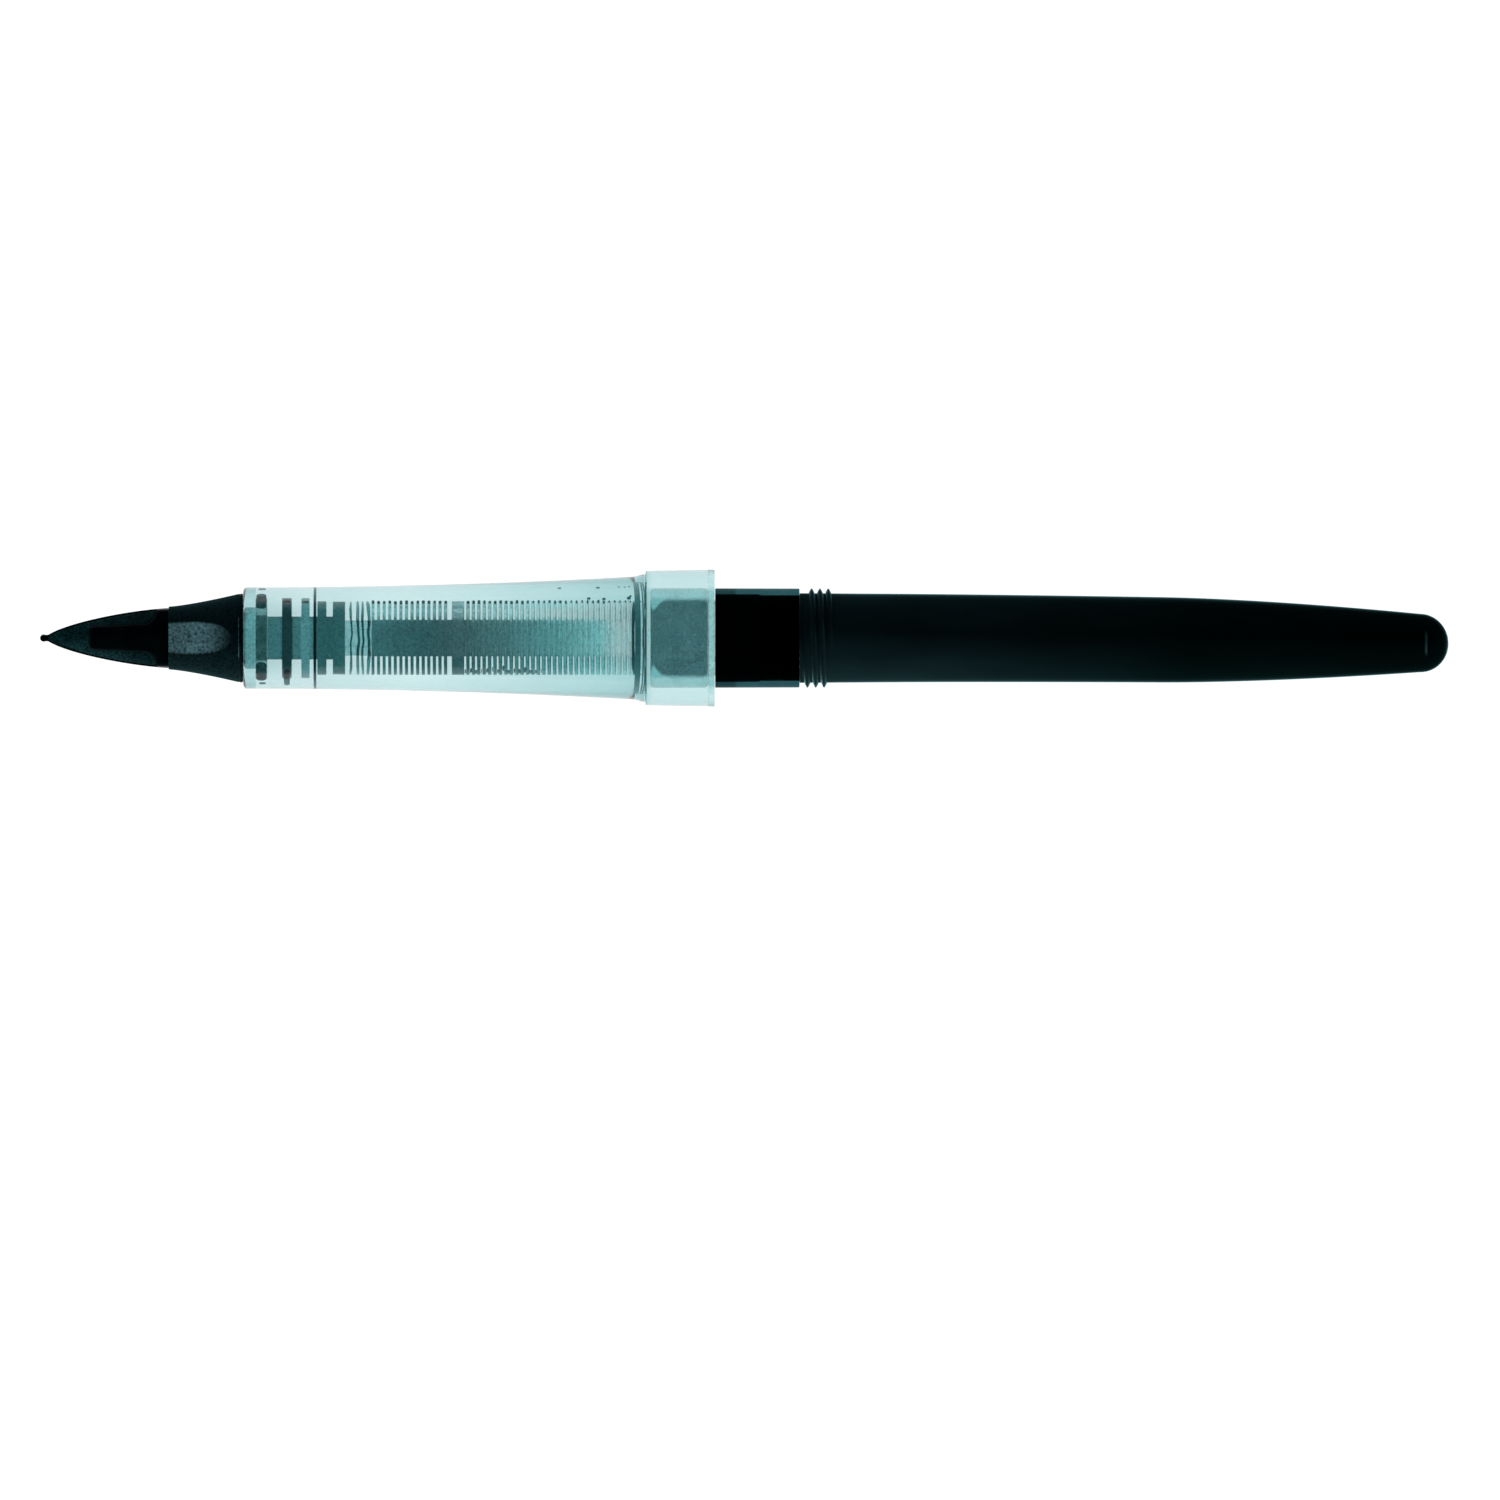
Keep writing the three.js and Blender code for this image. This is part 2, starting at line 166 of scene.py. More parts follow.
def eased(profile, radius, loop=True, steps=3):
    """The profile with its corners rounded off, each by at most the given radius."""
    count = len(profile)
    out = []
    for i, corner in enumerate(profile):
        if not loop and i in (0, count - 1):
            out.append(corner)
            continue
        here = Vector(corner)
        back = Vector(profile[i - 1]) - here
        ahead = Vector(profile[(i + 1) % count]) - here
        if min(back.length, ahead.length) < 1e-9 or back.angle(ahead) > math.radians(155):
            out.append(corner)
            continue
        reach = min(radius, back.length * 0.45, ahead.length * 0.45)
        start = here + back.normalized() * reach
        end = here + ahead.normalized() * reach
        for step in range(steps + 1):
            t = step / steps
            out.append(tuple(start * (1 - t) ** 2 + here * 2 * t * (1 - t) + end * t * t))
    return out


def sweep(from_x, to_x, steps, radius_at):
    """Points (x, radius) between two stations, the radius given by the share of the way along."""
    shares = [i / steps for i in range(steps + 1)]
    return [(from_x + (to_x - from_x) * share, radius_at(share)) for share in shares]


def quarter_turn(steps):
    """Angles from 0 to a right angle, in radians."""
    return [math.pi / 2 * i / steps for i in range(steps + 1)]


def smooth(low, high, value):
    """0 at low, 1 at high and an S-curve between. Low may be the larger."""
    share = min(max((value - low) / (high - low), 0), 1)
    return share * share * (3 - 2 * share)


# ---- Materials ----

def new_material(name, **values):
    """A Principled material. Keywords name its sockets, with _ for spaces."""
    made = bpy.data.materials.new(name)
    made.use_nodes = True
    shader = made.node_tree.nodes["Principled BSDF"]
    for key, value in values.items():
        shader.inputs[key.replace("_", " ")].default_value = value
    return made


def node(made, kind, **values):
    """A new node in a material or a world. Keywords set its properties."""
    added = made.node_tree.nodes.new(kind)
    for key, value in values.items():
        setattr(added, key, value)
    return added


def wire(made, source, output, target, socket):
    made.node_tree.links.new(source.outputs[output], target.inputs[socket])


def shader_of(made):
    return made.node_tree.nodes["Principled BSDF"]


def noise(made, size_mm, detail=2.0, stretch=(1, 1, 1)):
    """Noise whose grains are about size_mm across, in the object's own coordinates."""
    place = node(made, "ShaderNodeTexCoord")
    scale = node(made, "ShaderNodeMapping")
    scale.inputs["Scale"].default_value = stretch
    grain = node(made, "ShaderNodeTexNoise")
    grain.inputs["Scale"].default_value = 1 / (size_mm * MM)
    grain.inputs["Detail"].default_value = detail
    wire(made, place, "Object", scale, "Vector")
    wire(made, scale, "Vector", grain, "Vector")
    return grain


def ramp(made, source, output, stops):
    """A colour ramp through (position, colour) stops."""
    made_ramp = node(made, "ShaderNodeValToRGB")
    elements = made_ramp.color_ramp.elements
    while len(elements) < len(stops):
        elements.new(0.5)
    for element, (position, colour) in zip(elements, stops):
        element.position = position
        element.color = (*colour, 1)
    wire(made, source, output, made_ramp, "Fac")
    return made_ramp


def mottled(made, size_mm, dark, light, detail=3, stretch=(1, 1, 1)):
    """Colours that vary softly between two shades."""
    return ramp(made, noise(made, size_mm, detail, stretch), "Fac", [(0.35, dark), (0.65, light)])


def tone(made, size_mm, dark, light, stretch=(1, 1, 1)):
    """Base colour that varies softly between two shades."""
    colours = mottled(made, size_mm, dark, light, stretch=stretch)
    wire(made, colours, "Color", shader_of(made), "Base Color")


def grain_bump(made, size_mm, depth_mm, strength=1.0, detail=2.0, stretch=(1, 1, 1)):
    """Raised grain whose grains are about size_mm across."""
    bump = node(made, "ShaderNodeBump")
    bump.inputs["Strength"].default_value = strength
    bump.inputs["Distance"].default_value = depth_mm * MM
    wire(made, noise(made, size_mm, detail, stretch), "Fac", bump, "Height")
    wire(made, bump, "Normal", shader_of(made), "Normal")


def uneven_gloss(made, size_mm, low, high):
    """Roughness that wanders between two values."""
    spread = node(made, "ShaderNodeMapRange")
    spread.inputs["To Min"].default_value = low
    spread.inputs["To Max"].default_value = high
    wire(made, noise(made, size_mm), "Fac", spread, "Value")
    wire(made, spread, "Result", shader_of(made), "Roughness")


def share_between(made, source, output, low, high):
    """0 to 1 as a length goes from low to high, in millimetres."""
    share = node(made, "ShaderNodeMapRange")
    share.inputs["From Min"].default_value = low * MM
    share.inputs["From Max"].default_value = high * MM
    wire(made, source, output, share, "Value")
    return share


def along(made, axis, low, high):
    """0 to 1 between two stations on an axis of the pen."""
    split = node(made, "ShaderNodeSeparateXYZ")
    wire(made, node(made, "ShaderNodeTexCoord"), "Object", split, "Vector")
    return share_between(made, split, axis, low, high)


def from_axis(made, low, high):
    """0 to 1 between two distances from the pen's axis."""
    flat = node(made, "ShaderNodeMapping")
    flat.inputs["Scale"].default_value = (0, 1, 1)
    length = node(made, "ShaderNodeVectorMath", operation="LENGTH")
    wire(made, node(made, "ShaderNodeTexCoord"), "Object", flat, "Vector")
    wire(made, flat, "Vector", length, 0)
    return share_between(made, length, "Value", low, high)


# Where a Mix node has its colours: two inputs and one output, which share their names with other kinds.
MIX_FIRST, MIX_SECOND, MIXED = 6, 7, 2


def times(made, first, second):
    """One node's colour multiplied by another's. The result leaves by the same kind of output."""
    mix = node(made, "ShaderNodeMix", data_type="RGBA", blend_type="MULTIPLY", clamp_result=True)
    mix.inputs["Factor"].default_value = 1
    wire(made, first, colour_of(first), mix, MIX_FIRST)
    wire(made, second, colour_of(second), mix, MIX_SECOND)
    return mix


def blended(made, share, output, start, colours):
    """A plain colour where the share is 0, and another node's colours where it is 1."""
    mix = node(made, "ShaderNodeMix", data_type="RGBA")
    mix.inputs[MIX_FIRST].default_value = (*start, 1)
    wire(made, share, output, mix, "Factor")
    wire(made, colours, colour_of(colours), mix, MIX_SECOND)
    return mix


def colour_of(source):
    return MIXED if source.bl_idname == "ShaderNodeMix" else "Color"


def grainy(made, colours, size_mm, dark, light):
    """Feeds the base colour with the given colours, mottled by a fine grain between two strengths."""
    speckle = ramp(made, noise(made, size_mm, 3), "Fac", [(0.3, (dark,) * 3), (0.7, (light,) * 3)])
    wire(made, times(made, colours, speckle), MIXED, shader_of(made), "Base Color")


GLOW = (0.42, 0.88, 0.95, 1)


def add_sheen(made, weight, roughness):
    """A teal glow towards the outline, as dark plastic shows on a light table."""
    shader_of(made).inputs["Sheen Weight"].default_value = weight
    shader_of(made).inputs["Sheen Roughness"].default_value = roughness
    shader_of(made).inputs["Sheen Tint"].default_value = GLOW


def gloss_black():
    made = new_material("gloss_black", IOR=1.5, Specular_IOR_Level=0.01)
    tone(made, 1.2, (0.0004, 0.001, 0.0016), (0.001, 0.003, 0.0036))
    uneven_gloss(made, 0.8, 0.1, 0.2)
    return made


def matte_leaf():
    """Grainy, and darker towards the nib's root."""
    made = new_material("matte_leaf", IOR=1.45, Specular_IOR_Level=0.02)
    colours = mottled(made, 0.9, (0.005, 0.022, 0.025), (0.011, 0.038, 0.042), 2)
    share = along(made, "X", tip_x, nib_root_x)
    fade = ramp(made, share, "Result", [(0.3, (1, 1, 1)), (0.8, (0.5, 0.5, 0.5))])
    grainy(made, times(made, colours, fade), 0.17, 0.15, 1.8)
    grain_bump(made, 0.14, 0.02, 0.9)
    uneven_gloss(made, 0.3, 0.5, 0.7)
    return made


def holder_black():
    """Satin black, and lighter where the scoop attribute is set: on the scoop a spark-eroded texture
    brightened in part as painted light from the side, and on the groove's lip a painted highlight.
    """
    made = new_material("holder_black", IOR=1.5, Specular_IOR_Level=0.0)
    add_sheen(made, 0.1, 0.4)
    scoop = node(made, "ShaderNodeAttribute", attribute_name="scoop")
    # The lighter colour carries the scoop's texture with painted light, and the groove lip's painted
    # highlight.
    colours = ramp(made, scoop, "Fac", [(0.0, (0.003, 0.009, 0.0105)), (1.0, (0.18, 0.28, 0.315))])
    grainy(made, colours, 0.24, 0.3, 1.6)
    grain_bump(made, 0.14, 0.012, 0.8)
    uneven_gloss(made, 0.4, 0.3, 0.45)
    return made


def absorb(made, reach_mm):
    """Tints light on its way through: reach_mm is how far red, green and blue go before 1/e is left."""
    density = 1 / (min(reach_mm) * MM)
    soak = node(made, "ShaderNodeVolumeAbsorption")
    soak.inputs["Density"].default_value = density
    soak.inputs["Color"].default_value = (*[1 - min(reach_mm) / reach for reach in reach_mm], 1)
    wire(made, soak, "Volume", made.node_tree.nodes["Material Output"], "Volume")


def clear_plastic():
    """Tinted at its outer face, clear at its bore, and cyan in its depth. Towards the flare and the shoulder
    its outer tint darkens with painted shade.
    """
    made = new_material("clear_plastic", IOR=1.49, Transmission_Weight=1.0)
    front, pale_tint, rear_shade = (0.62, 0.75, 0.76), (0.84, 0.91, 0.91), (0.68, 0.82, 0.82)
    # Outer tint along X: darker at the front, pale in the middle, darker towards the flare and the shoulder
    # as painted shade, and pale again at the rear end.
    tint = ramp(made, along(made, "X", grip_x, ring_end_x), "Result", [
        (0.0, front),
        (0.35, pale_tint),
        (0.8, rear_shade),
        (0.86, rear_shade),
        (0.87, pale_tint),
        (1.0, pale_tint),
    ])
    outside = from_axis(made, front_bore + 0.1, front_bore + 0.2)
    grainy(made, blended(made, outside, "Result", (0.97, 1, 1), tint), 3, 0.95, 1)
    uneven_gloss(made, 2.5, 0.0, 0.035)
    grain_bump(made, 1.6, 0.006, 0.35, 1, (0.35, 1, 1))
    absorb(made, (8.5, 18.5, 20))
    return made


def frosted_plastic():
    made = new_material("frosted_plastic", IOR=1.06, Transmission_Weight=1.0)
    grainy(made, mottled(made, 1.5, (0.58, 0.84, 0.85), (0.68, 0.92, 0.93), 2), 0.2, 0.7, 1.15)
    uneven_gloss(made, 0.4, 0.3, 0.42)
    return made


def backlit_plastic(name, from_x, to_x, stops, speckle, IOR=1.06, across=None):
    """Translucent plastic seen against the light: its colour follows stops along X, under a fine grain.

    It may also take strengths across Y, between the sides of the collector.
    """
    made = new_material(name, IOR=IOR, Transmission_Weight=1.0)
    colours = ramp(made, along(made, "X", from_x, to_x), "Result", stops)
    if across:
        strengths = ramp(made, along(made, "Y", -fin_radius, fin_radius), "Result", across)
        colours = times(made, colours, strengths)
    grainy(made, colours, 0.2, *speckle)
    uneven_gloss(made, 0.5, 0.3, 0.45)
    grain_bump(made, 0.2, 0.01, 0.5)
    return made


def seal_rubber():
    made = new_material("seal_rubber", IOR=1.05, Transmission_Weight=1.0)
    grainy(made, mottled(made, 0.8, (0.17, 0.34, 0.35), (0.36, 0.58, 0.58), 2), 0.2, 0.45, 1.15)
    uneven_gloss(made, 0.3, 0.35, 0.6)
    return made


def smoke_plastic():
    """The feed's plastic: bare in the seal, inked at the first disc, murky behind the bore's step."""
    stub = (0.26, 0.51, 0.52)
    bare = (0.95, 1, 1)
    pale = (0.13, 0.34, 0.36)
    deep = (0.08, 0.235, 0.25)
    inked = (0.008, 0.045, 0.05)
    murky = (0.042, 0.15, 0.155)
    stops = [
        (0, stub),
        (0.265, stub),
        (0.27, bare),
        (0.36, bare),
        (0.37, deep),
        (0.485, deep),
        (0.49, inked),
        (0.567, inked),
        (0.572, deep),
        (0.63, deep),
        (0.638, pale),
        (0.71, pale),
        (0.74, deep),
        (0.76, murky),
    ]
    return backlit_plastic("smoke_plastic", feed_x, feed_end_x, stops, (0.5, 1.4))


# Strengths across the collector: its -Y side holds more ink, and a clear vent runs along its +Y side.
VENT = [
    (0.23, (0.65, 0.85, 0.85)),
    (0.27, (1, 1, 1)),
    (0.73, (1, 1, 1)),
    (0.77, (3.9, 2.9, 2.8)),
    (0.88, (4.2, 3.1, 3)),
    (0.895, (10, 6, 5.6)),
    (0.925, (10, 6, 5.6)),
    (0.94, (2, 1.9, 1.9)),
]


def stained_fins():
    """The collector's plastic, dark with ink at the front and clear by the tank."""
    return backlit_plastic("stained_fins", comb_x, rear_comb_end_x, [
        (0.0, (0.07, 0.19, 0.2)),
        (0.2, (0.05, 0.135, 0.145)),
        (0.34, (0.075, 0.145, 0.155)),
        (0.5, (0.13, 0.26, 0.27)),
        (0.72, (0.23, 0.48, 0.49)),
        (0.88, (0.5, 0.82, 0.83)),
        (0.95, (1, 1, 1)),
    ], (0.45, 1.55), 1.005, VENT)


def bore_plastic():
    """The collector's clean bore."""
    clean = [(0, (1, 1, 1)), (1, (0.97, 1, 1))]
    return backlit_plastic("bore_plastic", feed_x, rear_comb_end_x, clean, (0.97, 1), 1.02)


def ring_plastic():
    made = new_material("ring_plastic", IOR=1.1, Transmission_Weight=1.0)
    tone(made, 0.6, (0.45, 0.7, 0.7), (0.6, 0.82, 0.82))
    uneven_gloss(made, 0.3, 0.2, 0.35)
    grain_bump(made, 0.3, 0.02, 0.6)
    return made


def clear_rubber():
    made = new_material("clear_rubber", IOR=1.02, Transmission_Weight=1.0)
    tone(made, 0.4, (0.92, 0.97, 0.97), (1, 1, 1))
    uneven_gloss(made, 0.3, 0.1, 0.2)
    return made


def nozzle_plastic():
    """Dark up to its foot, which is clear."""
    tint = (0.32, 0.33, 0.345)
    stops = [(0, tint), (0.88, tint), (0.9, (1, 1, 1)), (1, (1, 1, 1))]
    return backlit_plastic("nozzle_plastic", nozzle_x, ring_end_x, stops, (0.45, 1.6))


def dark_tank():
    """Near black, with a teal sheen towards its outline and a faint glint where the attribute is set."""
    made = new_material("dark_tank", IOR=1.5, Specular_IOR_Level=0.0)
    add_sheen(made, 1.0, 0.2)
    mottle = mottled(made, 3, (0.7, 0.7, 0.7), (1, 1, 1), stretch=(0.3, 1, 1))
    shades = ramp(made, along(made, "X", neck_end_x, tail_x), "Result", [
        (0.0, (0.0055, 0.014, 0.016)),
        (0.15, (0.005, 0.013, 0.015)),
        (0.6, (0.0008, 0.004, 0.004)),
        (1.0, (0.0006, 0.003, 0.003)),
    ])
    colours = times(made, shades, mottle)
    glint = node(made, "ShaderNodeAttribute", attribute_name="glint")
    lit = node(made, "ShaderNodeMix", data_type="RGBA")
    lit.inputs[MIX_SECOND].default_value = (0.03, 0.06, 0.06, 1)
    wire(made, glint, "Fac", lit, "Factor")
    wire(made, colours, MIXED, lit, MIX_FIRST)
    wire(made, lit, MIXED, shader_of(made), "Base Color")
    uneven_gloss(made, 1.5, 0.05, 0.12)
    grain_bump(made, 2.2, 0.004, 0.3, 1, (0.3, 1, 1))
    return made


def sleeve_plastic():
    """Darker in front, where it sits in the joint; that darkening is painted shade."""
    made = new_material("sleeve_plastic", IOR=1.02, Transmission_Weight=1.0)
    # The darker front colour is painted shade from the joint.
    deep, tint = (0.01, 0.042, 0.048), (0.02, 0.08, 0.092)
    colours = ramp(made, along(made, "X", neck_x, neck_end_x), "Result", [(0.23, deep), (0.26, tint)])
    grainy(made, colours, 1.5, 0.85, 1.1)
    uneven_gloss(made, 1, 0.02, 0.08)
    return made


def wick_fibre():
    made = new_material("wick_fibre", IOR=1.02, Transmission_Weight=1.0)
    tone(made, 0.1, (0.88, 0.97, 0.97), (1, 1, 1), (0.1, 1, 1))
    grain_bump(made, 0.08, 0.02, 1, 2, (0.05, 1, 1))
    uneven_gloss(made, 0.2, 0.4, 0.6)
    return made


def wet_ink():
    made = new_material("wet_ink", IOR=1.34, Specular_IOR_Level=0.1)
    tone(made, 1.5, (0.002, 0.012, 0.014), (0.006, 0.035, 0.038))
    uneven_gloss(made, 2, 0.05, 0.12)
    return made


def thin_film(name, dark, light):
    """Ink in a layer thin enough for some light to come through."""
    made = new_material(name, IOR=1.03, Transmission_Weight=1.0)
    tone(made, 0.4, dark, light)
    uneven_gloss(made, 1, 0.1, 0.3)
    return made


def dried_film():
    """Ink that has dried on the wall and lets no light through."""
    made = new_material("dried_film", Roughness=0.6, Specular_IOR_Level=0.0)
    tone(made, 0.5, (0.42, 0.8, 0.82), (0.55, 0.95, 0.96))
    return made


LOOKS = {
    "nib_gloss": gloss_black(),
    "nib_matte": matte_leaf(),
    "holder_black": holder_black(),
    "clear_plastic": clear_plastic(),
    "frosted_plastic": frosted_plastic(),
    "seal_rubber": seal_rubber(),
    "smoke_plastic": smoke_plastic(),
    "stained_fins": stained_fins(),
    "bore_plastic": bore_plastic(),
    "nozzle": nozzle_plastic(),
    "ring": ring_plastic(),
    "clear_rubber": clear_rubber(),
    "tank_plastic": dark_tank(),
    "sleeve": sleeve_plastic(),
    "wick_fibre": wick_fibre(),
    "ink": wet_ink(),
    "ink_film": thin_film("ink_film", (0.025, 0.1, 0.11), (0.055, 0.17, 0.18)),
    "gap_film": thin_film("gap_film", (0.09, 0.25, 0.26), (0.18, 0.4, 0.41)),
    "gap_core": thin_film("gap_core", (0.3, 0.53, 0.54), (0.42, 0.68, 0.69)),
    "dried_film": dried_film(),
}


def place(piece, cad_node, body, slot, look=None):
    """The piece stands for a CAD node and takes the slot's finish. It rides on the node's body, save on the
    nib, whose pieces have their placement baked in.
    """
    piece.data.materials.append(LOOKS[look or slot])
    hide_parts(cad_node)
    if body == "nib":
        bend_nib(piece)
    else:
        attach(piece, body)
    return piece


def add_look(piece, name):
    """Gives the piece one more look. The result is its index, for the piece's faces."""
    piece.data.materials.append(LOOKS[name])
    return len(piece.data.materials) - 1


def bend_nib(piece):
    """Bakes the nib piece's placement into its mesh."""
    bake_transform(piece)


# ---- Nib ----

nib_half_width = 2.55
nib_flatness = 0.45
leaf_x = tip_x + 0.42
ball = 0.31
throat = 0.28
core_half = 0.26
leaf_margin = 0.15


def arch_width(x):
    """Half-width of the nib's pointed arch at a station."""
    share = min(max((x - leaf_x) / (nib_root_x - leaf_x), 0), 1)
    return nib_half_width * (1 - (1 - share) ** 1.4) ** 0.67


def arch_height(width, y):
    """Height of the nib's face over the middle plane, where the nib has the given half-width."""
    return nib_flatness * math.sqrt(max(width ** 2 - y * y, 0))


def core_height(x):
    """Half-thickness of the core plate, which thins towards the tip."""
    return min(core_half, 0.1 + 0.32 * arch_width(x))


def nib_stations(from_x, to_x, steps):
    """Stations that crowd towards the point of the nib."""
    return [from_x + (to_x - from_x) * (i / steps) ** 1.6 for i in range(steps + 1)]


def squarish(x, half_width, half_height, power, facets=96):
    """A ring shaped as a superellipse."""
    ring = []
    for i in range(facets):
        turn = 2 * math.pi * i / facets
        across, up = math.cos(turn), math.sin(turn)
        ring.append((
            x,
            half_width * math.copysign(abs(across) ** (2 / power), across),
            half_height * math.copysign(abs(up) ** (2 / power), up),
        ))
    return ring


def make_nib_core():
    """The capillary plate between the leaves, with the round writing tip in front and a tang behind."""
    tang_half_width = 1.2
    rings = [[(tip_x, 0, 0)]]
    for x in nib_stations(tip_x + 0.005, nib_root_x - 0.02, 80):
        beyond = x - tip_x
        sphere = math.sqrt(max(ball ** 2 - (beyond - ball) ** 2, 0)) if beyond < 2 * ball else 0
        neck = throat if beyond > ball else 0
        half_width = max(sphere, neck, arch_width(x))
        flat = smooth(1.5 * ball, 4 * ball, beyond)
        half_height = max(sphere, neck + (core_height(x) - neck) * flat if neck else 0)
        rings.append(squarish(x, half_width, half_height, 2 + 3 * flat))
    for x in (nib_root_x, tang_x):
        rings.append(squarish(x, tang_half_width, core_half, 5))
    rings.append([(tang_x, 0, 0)])
    place(skin("nib_core_piece", rings), "nib_core", "nib", "nib_gloss")


def make_nib_leaf(side, name, cad_node):
    """A crowned cover leaf on one face of the core, a little narrower than the core."""
    edge = 0.05
    across_steps = 48
    rings = []
    front_x = leaf_x + 0.25
    root_end_x = nib_root_x + 0.6
    for x in nib_stations(front_x, root_end_x, 70):
        width = arch_width(x)
        half = max(width - leaf_margin, 0.05)
        floor = core_height(x) + 0.005
        top = []
        for i in range(across_steps + 1):
            y = half * math.cos(math.pi * i / across_steps)
            top.append((x, y, side * max(arch_height(width, y), floor + edge)))
        rings.append(top + [(x, -half, side * floor), (x, 0, side * floor), (x, half, side * floor)])
    first, last = rings[0], rings[-1]
    rings = [[(front_x - 0.04, 0, first[-2][2])], *rings, [(root_end_x, 0, last[-2][2])]]
    place(skin(name, rings), cad_node, "nib", "nib_matte")


def make_nib_tongue(side, name, cad_node):
    """The T-shaped tongue: a widening stem along the leaf, and a crossbar over the nib's root."""
    front_half, rear_half = 0.99, 1.26
    stem_x = nib_root_x - 6.75
    bar_x = nib_root_x - 1.0
    bar = 2.5
    corner = 0.3
    flare = 1.1
    thickness = 0.42
    root_end_x = nib_root_x + 0.6

    def half_width(x):
        share = (x - stem_x) / (bar_x - stem_x)
        stem = front_half + (rear_half - front_half) * min(share, 1)
        if x < stem_x + corner:
            return stem - corner + math.sqrt(max(corner ** 2 - (stem_x + corner - x) ** 2, 0))
        along = min(max((x - bar_x + flare) / flare, 0), 1)
        return stem + (bar - stem) * (1 - math.sqrt(max(1 - along ** 2, 0)))

    stations = [stem_x + corner * i / 8 for i in range(8)]
    stations += [stem_x + corner + (bar_x - flare - stem_x - corner) * i / 20 for i in range(20)]
    stations += [bar_x - flare + flare * math.sin(math.pi / 2 * i / 18) for i in range(19)]
    stations += [bar_x + (root_end_x - bar_x) * i / 6 for i in range(1, 7)]
    across_steps = 48
    rings = []
    for x in stations:
        width = arch_width(x)
        half = min(half_width(x), width - 0.02)
        lift = thickness * smooth(stem_x - 0.3, stem_x + corner, x)
        bottom, top = [], []
        for i in range(across_steps + 1):
            share = math.cos(math.pi * i / across_steps)
            y = half * share
            seat = max(arch_height(width, y), core_height(x)) + 0.006
            outer = nib_flatness * math.sqrt((width + lift / nib_flatness) ** 2 - y * y)
            round_off = (1 - abs(share) ** 14) ** 0.5
            top.append((x, y, side * (seat + max(outer - seat, 0.04) * round_off)))
            bottom.append((x, y, side * (seat - 0.004)))
        rings.append(top + bottom[::-1])
    first, last = rings[0], rings[-1]
    middle = across_steps // 2
    rings = [[(stem_x, 0, first[middle][2])], *rings, [(stations[-1], 0, last[middle][2] * 0.9)]]
    place(skin(name, rings), cad_node, "nib", "nib_gloss")


# ---- Holder ----

def make_holder():
    """The flared holder, with the scoop across its top and a mouth that the nib comes out of."""
    front_radius = 2.68
    scoop_length = 5.5
    facets = 256
    lip_x = holder_end_x - 0.3
    mouth_depth = 1.2
    mouth_power = 2.2
    socket = 2.68
    socket_x = holder_end_x - 1.7
    back_x = holder_end_x - 0.02

    def cone(x):
        share = min(max((x - nib_root_x) / (lip_x - nib_root_x), 0), 1)
        return front_radius + (holder_radius - front_radius) * share ** 1.3

    def scoop_height(run):
        """Height of the scoop over the axis, which climbs faster towards the grip."""
        return 2.31 + 0.06 * run + 0.0325 * run * run + 0.03 * max(0, run - 4.2) ** 2

    def scooped(x, radius):
        run = x - nib_root_x
        height = scoop_height(run)
        ring = []
        for point in circle(x, radius, facets):
            if run < scoop_length and point[2] > height:
                point = (x, point[1], height)
            ring.append(point)
        return ring

    groove_x = holder_end_x - 0.28
    rings = [squarish(nib_root_x + mouth_depth, 2.5, 1.5, mouth_power, facets)]
    rings.append(squarish(nib_root_x + 0.05, 2.6, 1.66, mouth_power, facets))
    rings.append(scooped(nib_root_x, front_radius - 0.04))
    rings.append(scooped(nib_root_x + 0.03, front_radius))
    steps = 64
    for i in range(1, steps + 1):
        x = nib_root_x + 0.03 + (groove_x - 0.1 - nib_root_x - 0.03) * i / steps
        rings.append(scooped(x, cone(x)))
    for offset, sink in ((-0.05, 0.0), (0.0, 0.06), (0.05, 0.0)):
        x = groove_x + offset
        rings.append(circle(x, cone(x) - sink, facets))
    rings.append(circle(holder_end_x - 0.07, holder_radius, facets))
    rings.append(circle(back_x, holder_radius - 0.05, facets))
    rings.append(circle(back_x, socket, facets))
    rings.append(circle(socket_x, socket, facets))
    rings = [[(nib_root_x + mouth_depth, 0, 0)], *rings, [(socket_x, 0, 0)]]
    piece = place(skin("nib_holder_piece", rings), "nib_holder", "front_unit", "holder_black")
    # The scoop attribute: the scoop's spark-eroded texture, lightened in part as painted light, fading
    # towards the rear.
    mark = piece.data.attributes.new("scoop", "FLOAT", "POINT")
    for vertex, value in zip(piece.data.vertices, mark.data):
        run = vertex.co.x / MM - nib_root_x
        if 0 < run < scoop_length and abs(vertex.co.z / MM - scoop_height(run)) < 0.001:
            half_width = math.sqrt(max(cone(vertex.co.x / MM) ** 2 - scoop_height(run) ** 2, 0))
            edge = smooth(half_width, half_width - 0.25, abs(vertex.co.y / MM))
            value.value = edge * (0.75 + 0.25 * smooth(0.5, 2.5, run)) * (1 - smooth(2.4, 5.7, run))
        # A painted highlight along the top of the groove's front lip.
        if abs(vertex.co.x / MM - groove_x + 0.05) < 0.001 and vertex.co.z > 0:
            value.value = 0.6 * (1 - smooth(1.4, 2.0, abs(vertex.co.y / MM)))


# ---- Clear grip ----

stub_radius = 2.62
stub_hole = stub_radius + 0.04
front_wall = 1.1
bore_step_x = grip_x + 6.2
bore = 3.2
shoulder_x = ring_end_x - 5.93
bore_end_x = shoulder_x + 0.2
socket_radius = joint_radius + 0.03


